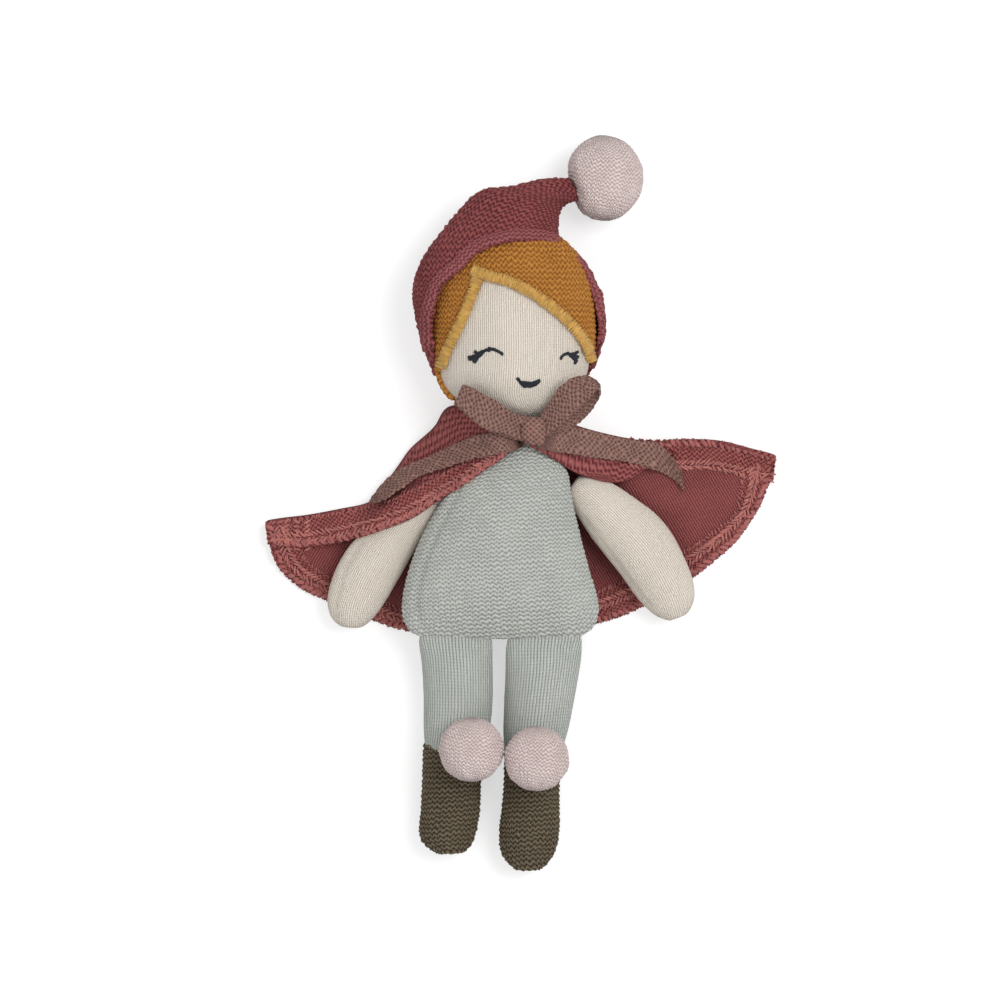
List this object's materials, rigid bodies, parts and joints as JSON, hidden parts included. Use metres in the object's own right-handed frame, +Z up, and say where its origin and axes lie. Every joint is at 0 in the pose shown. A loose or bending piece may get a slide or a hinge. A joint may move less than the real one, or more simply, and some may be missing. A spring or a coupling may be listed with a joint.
{
  "type": "plush elf doll",
  "caption": "Knitted plush elf doll lying on its back, with a pointed hat, a spread cape tied by a ribbon bow, jointed soft limbs and sewn yarn balls.",
  "frame": {"origin": "bottom centre of the overall box, on the surface the doll lies on", "axes": "+X across the shoulders towards the picture's right, +Y from the feet to the hat, +Z up out of the doll's chest"},
  "size_m": [0.1536, 0.2206, 0.0402],
  "materials": {
    "skin_jersey": "matt cream jersey with fine wales",
    "filling": "matt off-white fibre",
    "hair_knit": "ochre bumpy knit",
    "satin_stitch": "golden satin stitch, slight sheen",
    "embroidery_thread": "near-black navy thread",
    "cape_knit": "dusty red fine knit",
    "dress_knit": "grey-green ridged knit",
    "leg_knit": "pale grey-green stockinette",
    "boot_knit": "dark olive-brown ridged knit",
    "ball_knit": "pale pink ridged knit",
    "ribbon_tape": "mauve-brown knitted tape"
  },
  "bodies": {
    "torso": {"dress_front": "dress_knit", "dress_back": "dress_knit", "torso_filling": "filling", "neck": "skin_jersey", "cape_back": "cape_knit", "cape_front_left": "cape_knit", "cape_front_right": "cape_knit", "neck_ribbon": "ribbon_tape", "bow_knot": "ribbon_tape", "bow_loop_left": "ribbon_tape", "bow_loop_right": "ribbon_tape", "ribbon_tail_left": "ribbon_tape", "ribbon_tail_right": "ribbon_tape"},
    "head": {"head_skin": "skin_jersey", "head_filling": "filling", "hair_left": "hair_knit", "hair_right": "hair_knit", "hair_back": "hair_knit", "hairline_left": "satin_stitch", "hairline_right": "satin_stitch", "eye_left": "embroidery_thread", "eye_right": "embroidery_thread", "mouth": "embroidery_thread", "hat_body": "cape_knit", "hat_brim": "cape_knit"},
    "hat_tip": {"hat_tip": "cape_knit"},
    "hat_ball": {"hat_ball_cover": "ball_knit", "hat_ball_filling": "filling"},
    "arm_left": {"arm_left_skin": "skin_jersey", "arm_left_filling": "filling"},
    "arm_right": {"arm_right_skin": "skin_jersey", "arm_right_filling": "filling"},
    "leg_left": {"leg_left": "leg_knit", "boot_left": "boot_knit", "leg_left_filling": "filling", "boot_ball_left_cover": "ball_knit", "boot_ball_left_filling": "filling"},
    "leg_right": {"leg_right": "leg_knit", "boot_right": "boot_knit", "leg_right_filling": "filling", "boot_ball_right_cover": "ball_knit", "boot_ball_right_filling": "filling"}
  },
  "joints": [
    {"name": "neck_turn", "type": "hinge", "parent": "torso", "child": "head", "pos_m": [-0.00241, 0.02685, 0.019], "axis": [0, 1, 0], "range_deg": [-15, 15]},
    {"name": "hat_tip_swing", "type": "hinge", "parent": "head", "child": "hat_tip", "pos_m": [0.0021, 0.08924, 0.0187], "axis": [0, 0, 1], "range_deg": [-15, 45]},
    {"name": "hat_ball_swing", "type": "hinge", "parent": "hat_tip", "child": "hat_ball", "pos_m": [0.0126, 0.09276, 0.0135], "axis": [0, 0, 1], "range_deg": [-25, 25]},
    {"name": "shoulder_left", "type": "hinge", "parent": "torso", "child": "arm_left", "pos_m": [-0.02489, 0.00556, 0.0101], "axis": [-0.8613, 0.5082, 0], "range_deg": [0, 45], "deforming": ["cape_front_left", "ribbon_tail_left"]},
    {"name": "shoulder_right", "type": "hinge", "parent": "torso", "child": "arm_right", "pos_m": [0.02008, 0.00286, 0.0101], "axis": [-0.8147, -0.5798, 0], "range_deg": [0, 70]},
    {"name": "hip_left", "type": "hinge", "parent": "torso", "child": "leg_left", "pos_m": [-0.01951, -0.04325, 0.0146], "axis": [-1, 0, 0], "range_deg": [-20, 80]},
    {"name": "hip_right", "type": "hinge", "parent": "torso", "child": "leg_right", "pos_m": [0.00689, -0.04325, 0.0146], "axis": [-1, 0, 0], "range_deg": [-20, 80]}
  ]
}
